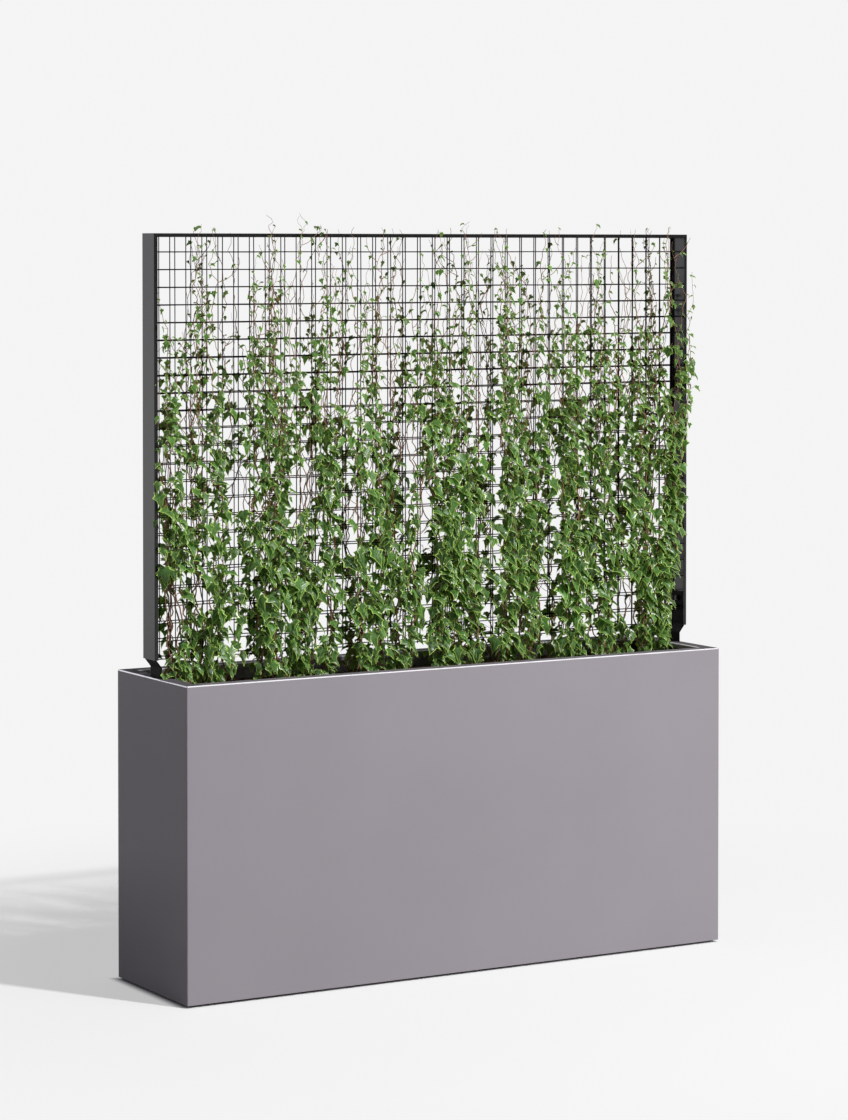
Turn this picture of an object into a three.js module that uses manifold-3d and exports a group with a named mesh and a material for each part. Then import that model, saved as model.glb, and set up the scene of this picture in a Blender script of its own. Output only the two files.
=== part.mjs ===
// A long steel planter with a climbing trellis: a folded sheet-steel box on flat floor strips, filled with
// drainage granules and compost, and an inverted-U channel frame with two welded wire meshes. The frame
// stands on two cranked legs that drop through slots in the planter's rim and are bolted to its end walls.
// Ivy climbs both meshes; each plant is a plain closed solid here.
// Millimetres, +Z up. X runs along the planter and -Y is the front. The origin is on the floor, under the
// planter's middle.
import * as THREE from "three";
import Module from "manifold-3d";

const wasm = await Module();
wasm.setup();

// ---- Driving dimensions ----
const fitGap = 0.3; // between faces that touch on the real object
const overlap = 1; // how far a joined or cutting shape runs past the face that it meets

// Planter
const planterLength = 1786;
const planterDepth = 445;
const shellHeight = 883;
const shellSheet = 2;
const cornerRadius = 4; // folded upright corners
const rimWidth = 45; // top edge folded inwards
const rimFoldRadius = 3.5;
const rimLip = 14; // the rim's inner edge, turned down
const bottomFlange = 55; // bottom edge folded inwards
const floorStripHeight = 7;
const floorStripWidth = 34;
const floorStripInset = 17; // from the planter's walls
const basePlateSheet = 2;
const drainHoleRadius = 10;
const drainHoleCount = 6; // in each of the two rows
const drainRowOffset = 95; // of each row of holes from the middle

// Filling
const drainageDepth = 120;
const soilBelowRim = 55;
const crossTieSheet = 4;
const crossTieHeight = 40;
const crossTieTab = 40;
const crossTieX = 300;
const crossTieLevel = 600;

// Trellis frame
const postOverhang = 7; // the posts stand this far outside the planter's ends
const trellisHeight = 1193;
const trellisAboveRim = 52;
const channelDepth = 78;
const channelFlange = 10.5;
const channelSheet = 2;
const channelFoldRadius = 2.5;

// Welded mesh
const wireThickness = 3;
const columnPitch = 50;
const columnMargin = 50; // least room from the frame's outside to the first column
const rowCount = 24;
const lowestRowRise = 2.5; // of the lowest row above the posts' ends
const weldSink = 0.5; // how far welded wires sink into each other
const wireEndGap = 1.2; // from a wire's end to the frame's web

// Cranked legs and what fastens them
const legSheet = 4;
const legSideGap = 0.4; // from the leg's edges to the mesh's rows
const legInPost = 100;
const crankHeight = 23;
const legInPlanter = 190;
const legHoleRadius = 4.6;
const slotGap = 0.7;
const studRadius = 4;
const studDropUpper = 20; // of the upper stud below the leg's top edge
const studPitchUpper = 28;
const studPitchLower = 80;
const studRiseLower = 35; // of the lower stud above the leg's foot
const nutAcrossFlats = 13;
const nutSides = 6;
const nutHeight = 6.5;
const nutBoreRadius = 4.3;
const studTail = 2; // of a stud past its nut
const bracketSheet = 2;
const bracketDepth = 10.7; // of the hat-shaped bracket, from the wall to the leg
const bracketWidth = 74;
const bracketFoot = 20;
const bracketHeight = 170;
const bracketBelowRim = 30;

// Ivy
const frontPlantCount = 7;
const backPlantCount = 6;
const plantGap = 5;
const leafClearance = 0.6; // from the leaves' solid to the frame
const waveShare = 0.035; // how much a plant's outline swells and narrows on its way up
const widthWave = [1.9, 2.3]; // of that wave in the width, from level to level and from plant to plant
const bulgeWave = [2.7, 1.3]; // the same for how far the leaves stand out
const endReachFrom = 0.5; // an end plant reaches past its post above this share of its height,
const endReachTo = 0.97; // and below this one
const fullness = 0.62; // 1 makes a plant's section half an ellipse, and less makes it squarer

// ---- Places that follow from the dimensions ----
const planterBottom = floorStripHeight;
const rimTop = planterBottom + shellHeight;
const wallInsideX = planterLength / 2 - shellSheet;
const wallInsideY = planterDepth / 2 - shellSheet;
const basePlateBottom = planterBottom + shellSheet + fitGap;
const drainageBottom = basePlateBottom + basePlateSheet + fitGap;
const soilBottom = drainageBottom + drainageDepth + fitGap;
const soilTop = rimTop - soilBelowRim;
const trellisLength = planterLength + 2 * postOverhang;
const frameOutsideX = trellisLength / 2;
const postBottom = rimTop + trellisAboveRim;
const trellisTop = postBottom + trellisHeight;
const webInsideX = frameOutsideX - channelSheet;
const rowsTakeUp = channelSheet + fitGap + wireThickness + fitGap + weldSink; // at each side of the channel
const legWidth = channelDepth - 2 * (rowsTakeUp + legSideGap);
const legUpperX = webInsideX - fitGap; // outer face of the leg's upper run
const bracketFaceX = wallInsideX - fitGap - bracketDepth;
const legLowerX = bracketFaceX - fitGap; // outer face of the leg's lower run
const legTop = postBottom + legInPost;
const legFoot = rimTop - legInPlanter;
const bracketTop = rimTop - bracketBelowRim;
const bracketBottom = bracketTop - bracketHeight;

// ---- Materials ----
const greySteel = () => new THREE.MeshStandardMaterial({ color: 0x8f8a91, roughness: 0.5, metalness: 0.35 });
const blackSteel = () => new THREE.MeshStandardMaterial({ color: 0x2a292b, roughness: 0.45, metalness: 0.4 });
const zincSteel = () => new THREE.MeshStandardMaterial({ color: 0x3a3a3c, roughness: 0.4, metalness: 0.8 });
const blackPlastic = () => new THREE.MeshStandardMaterial({ color: 0x1c1c1d, roughness: 0.8, metalness: 0 });
const compost = () => new THREE.MeshStandardMaterial({ color: 0x2b2019, roughness: 1, metalness: 0 });
const clayGranules = () => new THREE.MeshStandardMaterial({ color: 0x8a5638, roughness: 1, metalness: 0 });
const ivyLeaf = () => new THREE.MeshStandardMaterial({ color: 0x2f5a22, roughness: 0.6, metalness: 0 });

const planterWithTrellis = new THREE.Group();

function place(name, geometry, material) {
  const mesh = new THREE.Mesh(geometry, material);
  mesh.name = name;
  planterWithTrellis.add(mesh);
}

// ---- Shapes ----
function closedGeometry(points, triangles) {
  const geometry = new THREE.BufferGeometry();
  geometry.setAttribute("position", new THREE.Float32BufferAttribute(points, 3));
  geometry.setIndex(triangles);
  return geometry;
}

// A closed geometry as a solid that can be cut or joined. Vertices at one place are merged first.
function toSolid(geometry) {
  const source = geometry.index ? geometry.toNonIndexed() : geometry;
  const position = source.getAttribute("position");
  const numbers = new Map();
  const vertices = [];
  const corners = [];
  for (let i = 0; i < position.count; i += 1) {
    const point = [position.getX(i), position.getY(i), position.getZ(i)];
    const key = point.map((value) => Math.round(value * 1000)).join();
    if (!numbers.has(key)) {
      numbers.set(key, numbers.size);
      vertices.push(...point);
    }
    corners.push(numbers.get(key));
  }
  const triVerts = [];
  for (let i = 0; i < corners.length; i += 3) {
    const [a, b, c] = corners.slice(i, i + 3);
    if (a !== b && b !== c && a !== c) triVerts.push(a, b, c);
  }
  return new wasm.Manifold(
    new wasm.Mesh({
      numProp: 3,
      vertProperties: new Float32Array(vertices),
      triVerts: new Uint32Array(triVerts),
    }),
  );
}

function toGeometry(solid) {
  const mesh = solid.getMesh();
  return closedGeometry(Array.from(mesh.vertProperties), Array.from(mesh.triVerts));
}

function joined(geometries) {
  return toGeometry(geometries.map(toSolid).reduce((whole, piece) => whole.add(piece)));
}

function cut(geometry, cutters) {
  return toGeometry(cutters.map(toSolid).reduce((rest, cutter) => rest.subtract(cutter), toSolid(geometry)));
}

// A box from its lowest to its highest corner.
function block(low, high) {
  const size = high.map((value, i) => value - low[i]);
  const centre = high.map((value, i) => (value + low[i]) / 2);
  return new THREE.BoxGeometry(...size).translate(...centre);
}

// A slab that fills the planter from wall to wall, with corners to match the folded ones.
function slabInPlanter(z0, z1) {
  const x = wallInsideX - fitGap;
  const y = wallInsideY - fitGap;
  const r = cornerRadius - shellSheet;
  const outline = [
    ...arcPoints(x - r, y - r, r, 0, Math.PI / 2, 4),
    ...arcPoints(-x + r, y - r, r, Math.PI / 2, Math.PI, 4),
    ...arcPoints(-x + r, -y + r, r, Math.PI, (3 * Math.PI) / 2, 4),
    ...arcPoints(x - r, -y + r, r, (3 * Math.PI) / 2, 2 * Math.PI, 4),
  ];
  const shape = new THREE.Shape(outline.map(([a, b]) => new THREE.Vector2(a, b)));
  const slab = new THREE.ExtrudeGeometry(shape, { depth: z1 - z0, bevelEnabled: false });
  return slab.translate(0, 0, z0);
}

// A round or many-sided bar along X, from x0 to x1, on the line (y, z).
function barAlongX(radius, x0, x1, y, z, sides = 16) {
  const bar = new THREE.CylinderGeometry(radius, radius, Math.abs(x1 - x0), sides);
  return bar.rotateZ(Math.PI / 2).translate((x0 + x1) / 2, y, z);
}

function holeAlongZ(radius, x, y, z0, z1) {
  const bar = new THREE.CylinderGeometry(radius, radius, z1 - z0, 16);
  return bar.rotateX(Math.PI / 2).translate(x, y, (z0 + z1) / 2);
}

// The same shape on the other end of the planter.
function mirroredX(geometry) {
  const turned = (geometry.index ? geometry.toNonIndexed() : geometry.clone()).scale(-1, 1, 1);
  const count = turned.getAttribute("position").count;
  const order = [];
  for (let i = 0; i < count; i += 3) order.push(i, i + 2, i + 1);
  turned.setIndex(order);
  return turned;
}

function atEnd(side, geometry) {
  return side > 0 ? geometry : mirroredX(geometry);
}

// An outline in the XZ plane, as [x, z] points, made thick along Y.
function thickAlongY(outline, y0, y1) {
  const shape = new THREE.Shape(outline.map(([x, z]) => new THREE.Vector2(x, z)));
  const geometry = new THREE.ExtrudeGeometry(shape, { depth: y1 - y0, bevelEnabled: false });
  return geometry.rotateX(Math.PI / 2).translate(0, y1, 0);
}

// A profile of [inset, z] points carried round a rectangle with rounded corners, as a closed ring.
function ringAround(length, depth, radius, profile) {
  const cornerSteps = 4;
  const leastRadius = 0.8; // of a corner at the ring's inner side
  const points = [];
  for (const [inset, z] of profile) {
    const r = Math.max(radius - inset, leastRadius);
    for (let quarter = 0; quarter < 4; quarter += 1) {
      const signX = quarter === 0 || quarter === 3 ? 1 : -1;
      const signY = quarter < 2 ? 1 : -1;
      for (let step = 0; step <= cornerSteps; step += 1) {
        const angle = ((quarter + step / cornerSteps) * Math.PI) / 2;
        const x = signX * (length / 2 - inset - r) + r * Math.cos(angle);
        const y = signY * (depth / 2 - inset - r) + r * Math.sin(angle);
        points.push(x, y, z);
      }
    }
  }
  const around = 4 * (cornerSteps + 1);
  const triangles = [];
  profile.forEach((_, i) => {
    const next = (i + 1) % profile.length;
    for (let j = 0; j < around; j += 1) {
      const k = (j + 1) % around;
      const a = i * around + j;
      const b = i * around + k;
      const c = next * around + k;
      const d = next * around + j;
      triangles.push(a, b, c, a, c, d);
    }
  });
  return closedGeometry(points, triangles);
}

function arcPoints(centreA, centreB, radius, from, to, steps) {
  return Array.from({ length: steps + 1 }, (_, i) => {
    const angle = from + ((to - from) * i) / steps;
    return [centreA + radius * Math.cos(angle), centreB + radius * Math.sin(angle)];
  });
}

// ---- Planter ----
function planterShell() {
  const bend = rimFoldRadius;
  const inside = rimWidth - shellSheet;
  const profile = [
    [0, planterBottom],
    ...arcPoints(bend, rimTop - bend, bend, Math.PI, Math.PI / 2, 4),
    ...arcPoints(rimWidth - bend, rimTop - bend, bend, Math.PI / 2, 0, 4),
    [rimWidth, rimTop - rimLip],
    [inside, rimTop - rimLip],
    [inside, rimTop - shellSheet],
    [shellSheet, rimTop - shellSheet],
    [shellSheet, planterBottom + shellSheet],
    [bottomFlange, planterBottom + shellSheet],
    [bottomFlange, planterBottom],
  ];
  const folded = ringAround(planterLength, planterDepth, cornerRadius, profile);
  const legSlot = block(
    [legLowerX - legSheet - slotGap, -legWidth / 2 - slotGap, rimTop - 2 * shellSheet],
    [legLowerX + slotGap, legWidth / 2 + slotGap, rimTop + shellSheet],
  );
  return cut(folded, [legSlot, mirroredX(legSlot)]);
}

function basePlate() {
  const plate = slabInPlanter(basePlateBottom, basePlateBottom + basePlateSheet);
  const pitch = planterLength / drainHoleCount;
  const holes = [];
  for (let i = 0; i < drainHoleCount; i += 1) {
    const holeX = (i - (drainHoleCount - 1) / 2) * pitch;
    for (const holeY of [-drainRowOffset, drainRowOffset]) {
      holes.push(holeAlongZ(drainHoleRadius, holeX, holeY, basePlateBottom - overlap, drainageBottom));
    }
  }
  return cut(plate, holes);
}

// Flat strips under the bottom flange keep the planter off the floor, with one across the middle.
function addFloorStrips() {
  const top = floorStripHeight - fitGap;
  const x = planterLength / 2 - floorStripInset;
  const y = planterDepth / 2 - floorStripInset;
  const inY = y - floorStripWidth;
  const endY = inY - fitGap;
  const strips = {
    floor_strip_front: block([-x, -y, 0], [x, -inY, top]),
    floor_strip_back: block([-x, inY, 0], [x, y, top]),
    floor_strip_left: block([-x, -endY, 0], [-x + floorStripWidth, endY, top]),
    floor_strip_right: block([x - floorStripWidth, -endY, 0], [x, endY, top]),
  };
  const half = floorStripWidth / 2;
  const flangeInY = planterDepth / 2 - bottomFlange - fitGap;
  strips.floor_strip_centre = joined([
    block([-half, -endY, 0], [half, endY, top]),
    block([-half, -flangeInY, top - overlap], [half, flangeInY, basePlateBottom - fitGap]),
  ]);
  for (const [name, geometry] of Object.entries(strips)) place(name, geometry, blackPlastic());
}

// A strip between the front and back walls that stops them bulging, with its ends turned along them.
function crossTie(x, gap = 0) {
  const y = wallInsideY - fitGap + gap;
  const half = crossTieSheet / 2;
  const top = crossTieLevel + crossTieHeight;
  const bar = block([x - half - gap, -y, crossTieLevel - gap], [x + half + gap, y, top + gap]);
  const tabs = [-1, 1].map((side) => {
    const faces = [side * (y - crossTieSheet - 2 * gap), side * y].sort((a, b) => a - b);
    return block(
      [x - half - gap, faces[0], crossTieLevel - gap],
      [x - half + crossTieTab + gap, faces[1], top + gap],
    );
  });
  return joined([bar, ...tabs]);
}

function soilBody() {
  const filling = slabInPlanter(soilBottom, soilTop);
  const roomX = legLowerX - legSheet - nutHeight - studTail - 3 * fitGap;
  const roomY = bracketWidth / 2 + bracketFoot + fitGap;
  const roomFloor = Math.min(bracketBottom, legFoot) - fitGap;
  const roomForLeg = block([roomX, -roomY, roomFloor], [planterLength / 2, roomY, soilTop + overlap]);
  const ties = [-crossTieX, crossTieX].map((tieX) => crossTie(tieX, fitGap));
  return cut(filling, [roomForLeg, mirroredX(roomForLeg), ...ties]);
}

function addPlanter() {
  place("planter_shell", planterShell(), greySteel());
  place("base_plate", basePlate(), greySteel());
  addFloorStrips();
  place("cross_tie_left", crossTie(-crossTieX), greySteel());
  place("cross_tie_right", crossTie(crossTieX), greySteel());
  place("drainage_layer", slabInPlanter(drainageBottom, drainageBottom + drainageDepth), clayGranules());
  place("soil", soilBody(), compost());
}

// ---- Trellis frame ----
// The channel's section as [w, v] points: its web is at w = 0 and its flanges reach to w = channelFlange.
function channelSection() {
  const half = channelDepth / 2;
  const r = channelFoldRadius;
  return [
    [channelFlange, -half],
    ...arcPoints(r, -half + r, r, -Math.PI / 2, -Math.PI, 3),
    ...arcPoints(r, half - r, r, Math.PI, Math.PI / 2, 3),
    [channelFlange, half],
    [channelFlange, half - channelSheet],
    [channelSheet, half - channelSheet],
    [channelSheet, -half + channelSheet],
    [channelFlange, -half + channelSheet],
  ];
}

// The frame's corners are mitred: this is what the post (above its joint) or the rail (below it) loses.
function mitreCutter(isPost) {
  const reach = 2 * channelFlange;
  const gap = (isPost ? -1 : 1) * (fitGap / 2) * Math.SQRT2;
  const outer = [frameOutsideX + reach, trellisTop + reach + gap];
  const inner = [frameOutsideX - reach, trellisTop - reach + gap];
  const third = isPost
    ? [frameOutsideX - reach, trellisTop + reach + gap]
    : [frameOutsideX + reach, trellisTop - reach + gap];
  const outline = isPost ? [outer, third, inner] : [outer, inner, third];
  return thickAlongY(outline, -channelDepth, channelDepth);
}

function studs(faceX, levels) {
  const tail = fitGap + legSheet + fitGap + nutHeight + studTail;
  return levels.map((z) => barAlongX(studRadius, faceX - tail, faceX + channelSheet / 2, 0, z));
}

const upperStudLevels = [legTop - studDropUpper, legTop - studDropUpper - studPitchUpper];
const lowerStudLevels = [legFoot + studRiseLower, legFoot + studRiseLower + studPitchLower];

function post() {
  const outline = channelSection().map(([w, v]) => new THREE.Vector2(frameOutsideX - w, v));
  const shape = new THREE.Shape(outline);
  const height = trellisTop - postBottom;
  const channel = new THREE.ExtrudeGeometry(shape, { depth: height, bevelEnabled: false });
  channel.translate(0, 0, postBottom);
  return joined([cut(channel, [mitreCutter(true)]), ...studs(webInsideX, upperStudLevels)]);
}

function topRail() {
  const outline = channelSection().map(([w, v]) => new THREE.Vector2(w, v));
  const shape = new THREE.Shape(outline);
  const channel = new THREE.ExtrudeGeometry(shape, { depth: trellisLength, bevelEnabled: false });
  channel.rotateY(Math.PI / 2).translate(-frameOutsideX, 0, trellisTop);
  const mitre = mitreCutter(false);
  return cut(channel, [mitre, mirroredX(mitre)]);
}

// A mesh of square wire: rows behind the frame's flanges, columns behind the rows. On the real mesh every
// crossing is welded. Here the outer rows and columns are welded to all they cross, and the others pass
// fitGap apart.
function weldedMesh(side) {
  const half = wireThickness / 2;
  const rowY = side * (channelDepth / 2 - channelSheet - fitGap - half);
  const columnY = rowY - side * (wireThickness + fitGap);
  const weldShift = side * (fitGap + weldSink);
  const endX = webInsideX - wireEndGap;
  const rowPitch = (trellisHeight - lowestRowRise) / rowCount;
  const wires = [];
  for (let row = 1; row <= rowCount; row += 1) {
    const z = trellisTop - row * rowPitch;
    const outer = row === 1 || row === rowCount;
    const y = outer ? rowY - weldShift : rowY;
    wires.push(block([-endX, y - half, z - half], [endX, y + half, z + half]));
  }
  const halfCount = Math.floor((frameOutsideX - columnMargin) / columnPitch);
  const lowEnd = postBottom + lowestRowRise - 2 * half;
  const highEnd = trellisTop - channelSheet - wireEndGap;
  for (let column = -halfCount; column <= halfCount; column += 1) {
    const x = column * columnPitch;
    const y = Math.abs(column) === halfCount ? columnY + weldShift : columnY;
    wires.push(block([x - half, y - half, lowEnd], [x + half, y + half, highEnd]));
  }
  return joined(wires);
}

function addTrellis() {
  place("post_left", atEnd(-1, post()), blackSteel());
  place("post_right", post(), blackSteel());
  place("top_rail", topRail(), blackSteel());
  place("mesh_front", weldedMesh(-1), blackSteel());
  place("mesh_back", weldedMesh(1), blackSteel());
}

// ---- Legs ----
function holeInLeg(faceX, z) {
  return barAlongX(legHoleRadius, faceX - legSheet - overlap, faceX + overlap, 0, z);
}

// A flat plate bolted inside the post, cranked inwards under it, and straight down through the rim.
function crankedLeg() {
  const crankTop = postBottom;
  const crankFoot = postBottom - crankHeight;
  const lean = Math.atan2(legUpperX - legLowerX, crankHeight);
  const shift = legSheet * Math.tan(lean / 2);
  const outline = [
    [legUpperX, legTop],
    [legUpperX, crankTop],
    [legLowerX, crankFoot],
    [legLowerX, legFoot],
    [legLowerX - legSheet, legFoot],
    [legLowerX - legSheet, crankFoot + shift],
    [legUpperX - legSheet, crankTop + shift],
    [legUpperX - legSheet, legTop],
  ].reverse();
  const plate = thickAlongY(outline, -legWidth / 2, legWidth / 2);
  const holes = [
    ...upperStudLevels.map((z) => holeInLeg(legUpperX, z)),
    ...lowerStudLevels.map((z) => holeInLeg(legLowerX, z)),
  ];
  return cut(plate, holes);
}

// A hat-shaped bracket on the end wall, with the studs that hold the leg.
function legBracket() {
  const low = wallInsideX - fitGap - bracketSheet;
  const web = bracketWidth / 2;
  const foot = web + bracketFoot;
  const inner = web - bracketSheet;
  const faceX = bracketFaceX;
  const wall = wallInsideX - fitGap;
  const hat = [
    [faceX, -web], [low, -web], [low, -foot], [wall, -foot],
    [wall, -inner], [faceX + bracketSheet, -inner], [faceX + bracketSheet, inner], [wall, inner],
    [wall, foot], [low, foot], [low, web], [faceX, web],
  ];
  const shape = new THREE.Shape(hat.map(([x, y]) => new THREE.Vector2(x, y)));
  const body = new THREE.ExtrudeGeometry(shape, { depth: bracketHeight, bevelEnabled: false });
  body.translate(0, 0, bracketBottom);
  return joined([body, ...studs(faceX, lowerStudLevels)]);
}

function nut(faceX, z) {
  const cornerRadiusOfNut = nutAcrossFlats / Math.sqrt(3);
  const high = faceX - fitGap;
  const body = barAlongX(cornerRadiusOfNut, high - nutHeight, high, 0, z, nutSides);
  return cut(body, [barAlongX(nutBoreRadius, high - nutHeight - overlap, high + overlap, 0, z)]);
}

function addLegs() {
  for (const [word, side] of [["left", -1], ["right", 1]]) {
    place(`leg_${word}`, atEnd(side, crankedLeg()), blackSteel());
    place(`leg_bracket_${word}`, atEnd(side, legBracket()), greySteel());
    upperStudLevels.forEach((z, i) => {
      place(`post_nut_${word}_${i + 1}`, atEnd(side, nut(legUpperX - legSheet, z)), zincSteel());
    });
    lowerStudLevels.forEach((z, i) => {
      place(`bracket_nut_${word}_${i + 1}`, atEnd(side, nut(legLowerX - legSheet, z)), zincSteel());
    });
  }
}

// ---- Ivy ----
// Levels of a plant from the soil to its tip: height between soil and tip, share of the plant's own width,
// and how far its leaves stand out from the frame.
const plantLevels = [
  [0.0, 0.52, 34],
  [0.05, 0.8, 42],
  [0.12, 0.98, 49],
  [0.27, 1.0, 53],
  [0.42, 1.0, 48],
  [0.56, 0.97, 39],
  [0.7, 0.9, 30],
  [0.84, 0.8, 22],
  [0.94, 0.58, 16],
  [1.0, 0.12, 10],
];

// The plants fill the columns between these shares of the trellis's length, from left to right.
const frontEdges = [-0.5, -0.348, -0.158, -0.025, 0.098, 0.219, 0.382, 0.5];
// How far the tip of each front plant reaches above the top rail, and past the end posts.
const frontTips = [30, 62, 22, 40, 18, 34, 24];
const backTips = [20, 26, 12, 30, 16, 22];
const leftReach = 14;
const rightReach = 48;

// A plant against one face of the frame: D-shaped rings, flat towards the mesh, one for each level.
function plantSolid(plant, side, left, right, tip, reachLeft = 0, reachRight = 0) {
  const arcSteps = 6; // around half a ring
  const nearY = side * (channelDepth / 2 + leafClearance);
  const insideRimX = planterLength / 2 - rimWidth - plantGap;
  const points = [];
  plantLevels.forEach(([share, widthShare, standOut], level) => {
    const z = soilTop + fitGap + share * (tip - soilTop - fitGap);
    const roomX = z < rimTop + rimLip ? insideRimX : frameOutsideX + rightReach;
    const spread = share > endReachFrom && share < endReachTo ? 1 : 0;
    const lowX = left + plantGap / 2 - spread * reachLeft;
    const highX = right - plantGap / 2 + spread * reachRight;
    const wave = 1 - waveShare * (1 + Math.sin(widthWave[0] * level + widthWave[1] * plant));
    const halfWidth = ((highX - lowX) / 2) * widthShare * wave;
    const centreX = (lowX + highX) / 2 + spread * ((reachRight - reachLeft) / 2) * (1 - widthShare * wave);
    const bulge = standOut * (1 + 2 * waveShare * Math.sin(bulgeWave[0] * level + bulgeWave[1] * plant));
    for (let i = 0; i <= arcSteps; i += 1) {
      const angle = (Math.PI * i) / arcSteps;
      const across = Math.cos(angle);
      const free = centreX + halfWidth * Math.sign(across) * Math.abs(across) ** fullness;
      const x = Math.min(Math.max(free, -roomX), roomX);
      const y = nearY + side * bulge * Math.abs(Math.sin(angle)) ** fullness;
      points.push(x, y, z);
    }
  });
  const around = arcSteps + 1;
  const triangles = [];
  const last = (plantLevels.length - 1) * around;
  for (let ring = 0; ring + 1 < plantLevels.length; ring += 1) {
    for (let j = 0; j < around; j += 1) {
      const k = (j + 1) % around;
      const a = ring * around + j;
      const b = ring * around + k;
      triangles.push(a, b, b + around, a, b + around, a + around);
    }
  }
  for (let j = 1; j + 1 < around; j += 1) {
    triangles.push(0, j + 1, j);
    triangles.push(last, last + j, last + j + 1);
  }
  if (side < 0) triangles.reverse();
  return closedGeometry(points, triangles);
}

function addIvy() {
  for (let i = 0; i < frontPlantCount; i += 1) {
    const left = frontEdges[i] * trellisLength;
    const right = frontEdges[i + 1] * trellisLength;
    const pastLeft = i === 0 ? leftReach : 0;
    const pastRight = i === frontPlantCount - 1 ? rightReach : 0;
    const body = plantSolid(i, -1, left, right, trellisTop + frontTips[i], pastLeft, pastRight);
    place(`ivy_front_${i + 1}`, body, ivyLeaf());
  }
  const pitch = trellisLength / backPlantCount;
  for (let i = 0; i < backPlantCount; i += 1) {
    const left = -frameOutsideX + i * pitch;
    const body = plantSolid(i + frontPlantCount, 1, left, left + pitch, trellisTop + backTips[i]);
    place(`ivy_back_${i + 1}`, body, ivyLeaf());
  }
}

addPlanter();
addTrellis();
addLegs();
addIvy();

export default planterWithTrellis;
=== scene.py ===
# %% [markdown]
# # A long steel planter with an ivy trellis
# The real object is a folded sheet-steel box with a black channel frame over it. Two welded meshes fill the
# frame, and ivy climbs both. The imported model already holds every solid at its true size. This lesson keeps
# the solids whose shape is right, and gives them paint. It replaces the plain ones, which are the square
# wires and the ivy's blocks, and lays a crumbly crust on the soil.

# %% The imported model
import math

import bmesh
import bpy
import numpy as np
from mathutils import Matrix, Vector, noise


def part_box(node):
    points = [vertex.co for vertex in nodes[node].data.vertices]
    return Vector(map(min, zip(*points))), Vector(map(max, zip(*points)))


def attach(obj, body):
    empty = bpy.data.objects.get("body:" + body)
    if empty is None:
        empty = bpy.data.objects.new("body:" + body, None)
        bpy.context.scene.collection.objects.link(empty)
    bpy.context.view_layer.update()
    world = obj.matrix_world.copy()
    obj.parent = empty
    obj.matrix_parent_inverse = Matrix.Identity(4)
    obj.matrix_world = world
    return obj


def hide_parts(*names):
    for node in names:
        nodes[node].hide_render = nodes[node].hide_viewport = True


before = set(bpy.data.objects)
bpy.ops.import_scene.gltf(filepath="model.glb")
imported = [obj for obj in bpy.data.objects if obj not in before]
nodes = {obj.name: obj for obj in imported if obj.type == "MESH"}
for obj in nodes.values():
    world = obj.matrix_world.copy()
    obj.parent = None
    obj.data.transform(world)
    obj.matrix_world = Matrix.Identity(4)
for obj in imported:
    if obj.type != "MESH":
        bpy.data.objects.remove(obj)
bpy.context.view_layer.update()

# %% [markdown]
# ## The camera
# The object was seen from the front and left, at the height of the trellis's top. Its upright edges are
# parallel in the picture, so the lens is shifted down rather than the camera turned down. A slight turn
# down keeps that shift moderate, and moves most edges by less than two pixels. The values come from fitting
# a camera to the object's corners.

# %% The camera
SENSOR_WIDTH = 36
LENS = 108.455
SHIFT_UP = -0.195
FAR_CLIP = 200
CAMERA_PLACE = (-4.9942, -8.5200, 2.0900)
CAMERA_PITCH = math.radians(88.4338)
CAMERA_TURN = math.radians(-30.3396)

camera_data = bpy.data.cameras.new("camera")
camera_data.lens = LENS
camera_data.sensor_width = SENSOR_WIDTH
camera_data.shift_y = SHIFT_UP
camera_data.clip_end = FAR_CLIP
camera = bpy.data.objects.new("camera", camera_data)
camera.location = CAMERA_PLACE
camera.rotation_euler = (CAMERA_PITCH, 0, CAMERA_TURN)
bpy.context.scene.collection.objects.link(camera)
bpy.context.scene.camera = camera
bpy.context.scene.view_settings.view_transform = "Standard"
print("camera at", CAMERA_PLACE)

# %% [markdown]
# ## Finishes, node by node
# Every finish below is built from the same few nodes: noise for unevenness, a ramp or a mix for colour, and
# bump for relief. A small helper keeps each of them to one line. All patterns are read from the object's own
# coordinates, in metres, or from a map on the piece, so they stay put when the camera moves.


# %% A helper for finishes
def chip(red, green, blue):
    """A colour read off a screen, 0 to 255, as the linear colour that a shader takes."""
    return tuple((v / 255) ** 2.2 for v in (red, green, blue)) + (1.0,)


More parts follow.
